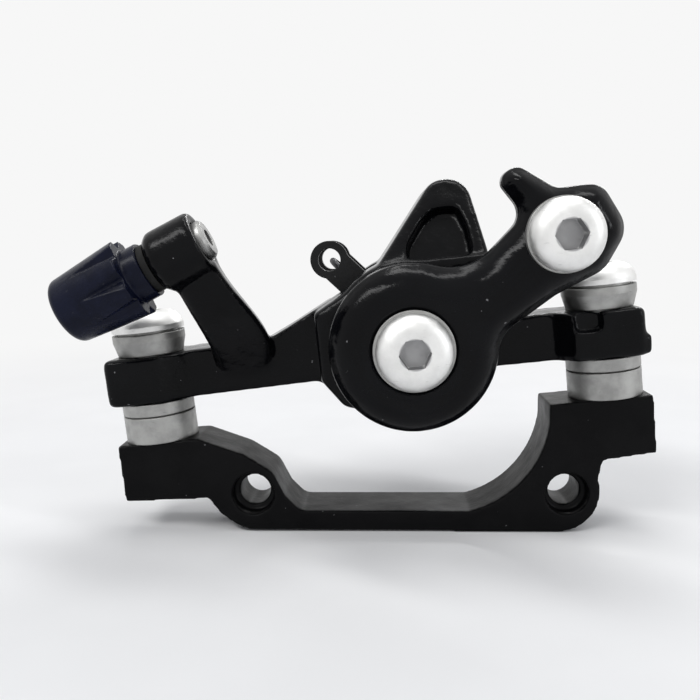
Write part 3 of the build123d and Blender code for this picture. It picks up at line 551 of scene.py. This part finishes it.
def spring_half(name, front_half):
    """One leg of the hairpin spring: the half on one side of its box's middle across y, with the cut
    closed.
    """
    low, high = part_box("pad_spring")
    centre = tuple((a + b) / 2 for a, b in zip(low, high))
    mesh, solid = welded("pad_spring")
    cut = bmesh.ops.bisect_plane(
        solid,
        geom=solid.verts[:] + solid.edges[:] + solid.faces[:],
        plane_co=centre,
        plane_no=(0, 1, 0),
        clear_outer=front_half,
        clear_inner=not front_half,
    )
    rim = [item for item in cut["geom_cut"] if isinstance(item, bmesh.types.BMEdge)]
    bmesh.ops.holes_fill(solid, edges=rim)
    piece = new_object(name, mesh, solid)
    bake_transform(piece)
    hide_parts("pad_spring")
    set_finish(piece, nodes["pad_spring"]["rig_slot"])


coarse = 1.0
softened("caliper_body", "caliper_casting", 0.32 * MM * coarse, 26)
lever = softened("lever_arm", "lever_casting", 0.25 * MM * coarse, 8)
rolled_front(
    lever,
    front=anchor_high[1],
    thickness=5.4 * MM,
    width=3.4 * MM,
    drop=2.0 * MM,
    dish=0.35 * MM,
    bosses=[(PIVOT.x, PIVOT.z, 6.6 * MM), (ANCHOR.x, ANCHOR.z, 5.6 * MM)],
)
softened("adapter_bracket", "bracket_bar", 0.30 * MM * coarse, 4)
softened("adjuster_knob", "knob", 0.14 * MM * coarse, 4)
spring_half("spring_outboard_leg", True)
spring_half("spring_inboard_leg", False)


# ------------------------------------------------------- floor, light, camera

def sees_background(tree):
    """1 for the rays of the camera, of gloss and of glass, which all see the white background."""
    rays = tree.nodes.new("ShaderNodeLightPath")
    either = calc(tree, "MAXIMUM", rays.outputs["Is Camera Ray"], rays.outputs["Is Glossy Ray"])
    return calc(tree, "MAXIMUM", either, rays.outputs["Is Transmission Ray"])


def mix_shaders(tree, factor, first, second, out):
    """Sends the mix of two shaders to the output node."""
    mix = tree.nodes.new("ShaderNodeMixShader")
    tree.links.new(factor, mix.inputs[0])
    tree.links.new(first, mix.inputs[1])
    tree.links.new(second, mix.inputs[2])
    tree.links.new(mix.outputs[0], out.inputs["Surface"])


def floor_material():
    """Pale floor that keeps the object's shadow and fades to the background around it."""
    mat, tree, shader = material("pale_floor")
    where = place(tree)
    tone = band(tree, noise(tree, where, 30, 3, 0.5), *MIDDLE)
    colour = blend_colours(tree, tone, (0.86, 0.86, 0.86), (0.89, 0.89, 0.89))
    tree.links.new(colour, shader.inputs["Base Color"])
    shader.inputs["Roughness"].default_value = 0.9
    far = band(tree, distance(tree, where), *FLOOR_FADE)
    white = tree.nodes.new("ShaderNodeEmission")
    white.inputs["Color"].default_value = BACKGROUND
    factor = calc(tree, "MULTIPLY", far, sees_background(tree))
    out = tree.nodes["Material Output"]
    mix_shaders(tree, factor, shader.outputs["BSDF"], white.outputs[0], out)
    return mat


def make_floor():
    """A wide flat disc just under the bracket."""
    mesh = bpy.data.meshes.new("floor")
    disc = bmesh.new()
    bmesh.ops.create_circle(disc, cap_ends=True, segments=96, radius=3.0)
    floor = new_object("floor", mesh, disc)
    floor.location = (0, 0, cad_low.z - 0.02 * MM)
    mesh.materials.append(floor_material())


def world_light():
    """Soft light from all round, and the plain background for the rays that see it."""
    world = bpy.data.worlds.new("studio")
    bpy.context.scene.world = world
    world.use_nodes = True
    tree = world.node_tree
    tree.nodes.clear()
    out = tree.nodes.new("ShaderNodeOutputWorld")
    soft = tree.nodes.new("ShaderNodeBackground")
    soft.inputs["Color"].default_value = (0.93, 0.95, 1.0, 1)
    soft.inputs["Strength"].default_value = 0.42
    plain = tree.nodes.new("ShaderNodeBackground")
    plain.inputs["Color"].default_value = BACKGROUND
    mix_shaders(tree, sees_background(tree), soft.outputs[0], plain.outputs[0], out)


def lamp(name, place_at, size, watts, colour=(1, 1, 1)):
    """A rectangular soft lamp that points at the caliper."""
    light = bpy.data.lights.new(name, "AREA")
    light.shape = "RECTANGLE"
    light.size, light.size_y = size
    light.energy = watts
    light.color = colour
    thing = bpy.data.objects.new(name, light)
    thing.location = place_at
    aim = Vector((0, 0, 0.02)) - Vector(place_at)
    thing.rotation_euler = aim.to_track_quat("-Z", "Y").to_euler()
    bpy.context.scene.collection.objects.link(thing)


def make_camera():
    """The camera of the photograph's upper view."""
    camera = bpy.data.cameras.new("camera")
    camera.sensor_width = 36
    camera.lens = 39.75
    camera.clip_start = 0.005
    camera.clip_end = 20
    viewer = bpy.data.objects.new("camera", camera)
    bpy.context.scene.collection.objects.link(viewer)
    bpy.context.scene.camera = viewer
    right = Vector((0.99919, 0.0385, -0.0119))
    up = Vector((0.00628, 0.14272, 0.98974))
    back = Vector((0.0398, -0.98901, 0.14236))
    turn = Matrix((right, up, back)).transposed()
    stand = Vector((-4.43, -123.75, 41.22)) * MM
    viewer.matrix_world = Matrix.Translation(stand) @ turn.to_4x4()


make_floor()
world_light()
lamp("key", (-0.30, -0.30, 0.44), size=(0.40, 0.10), watts=1.35)
lamp("top", (0.02, 0.03, 0.50), size=(0.40, 0.08), watts=0.72)
lamp("side", (0.45, -0.22, 0.20), size=(0.03, 0.30), watts=0.45, colour=(0.95, 0.97, 1.0))
lamp("behind", (0.18, 0.42, 0.30), size=(0.36, 0.025), watts=0.60)
make_camera()

bpy.context.scene.view_settings.view_transform = "Standard"
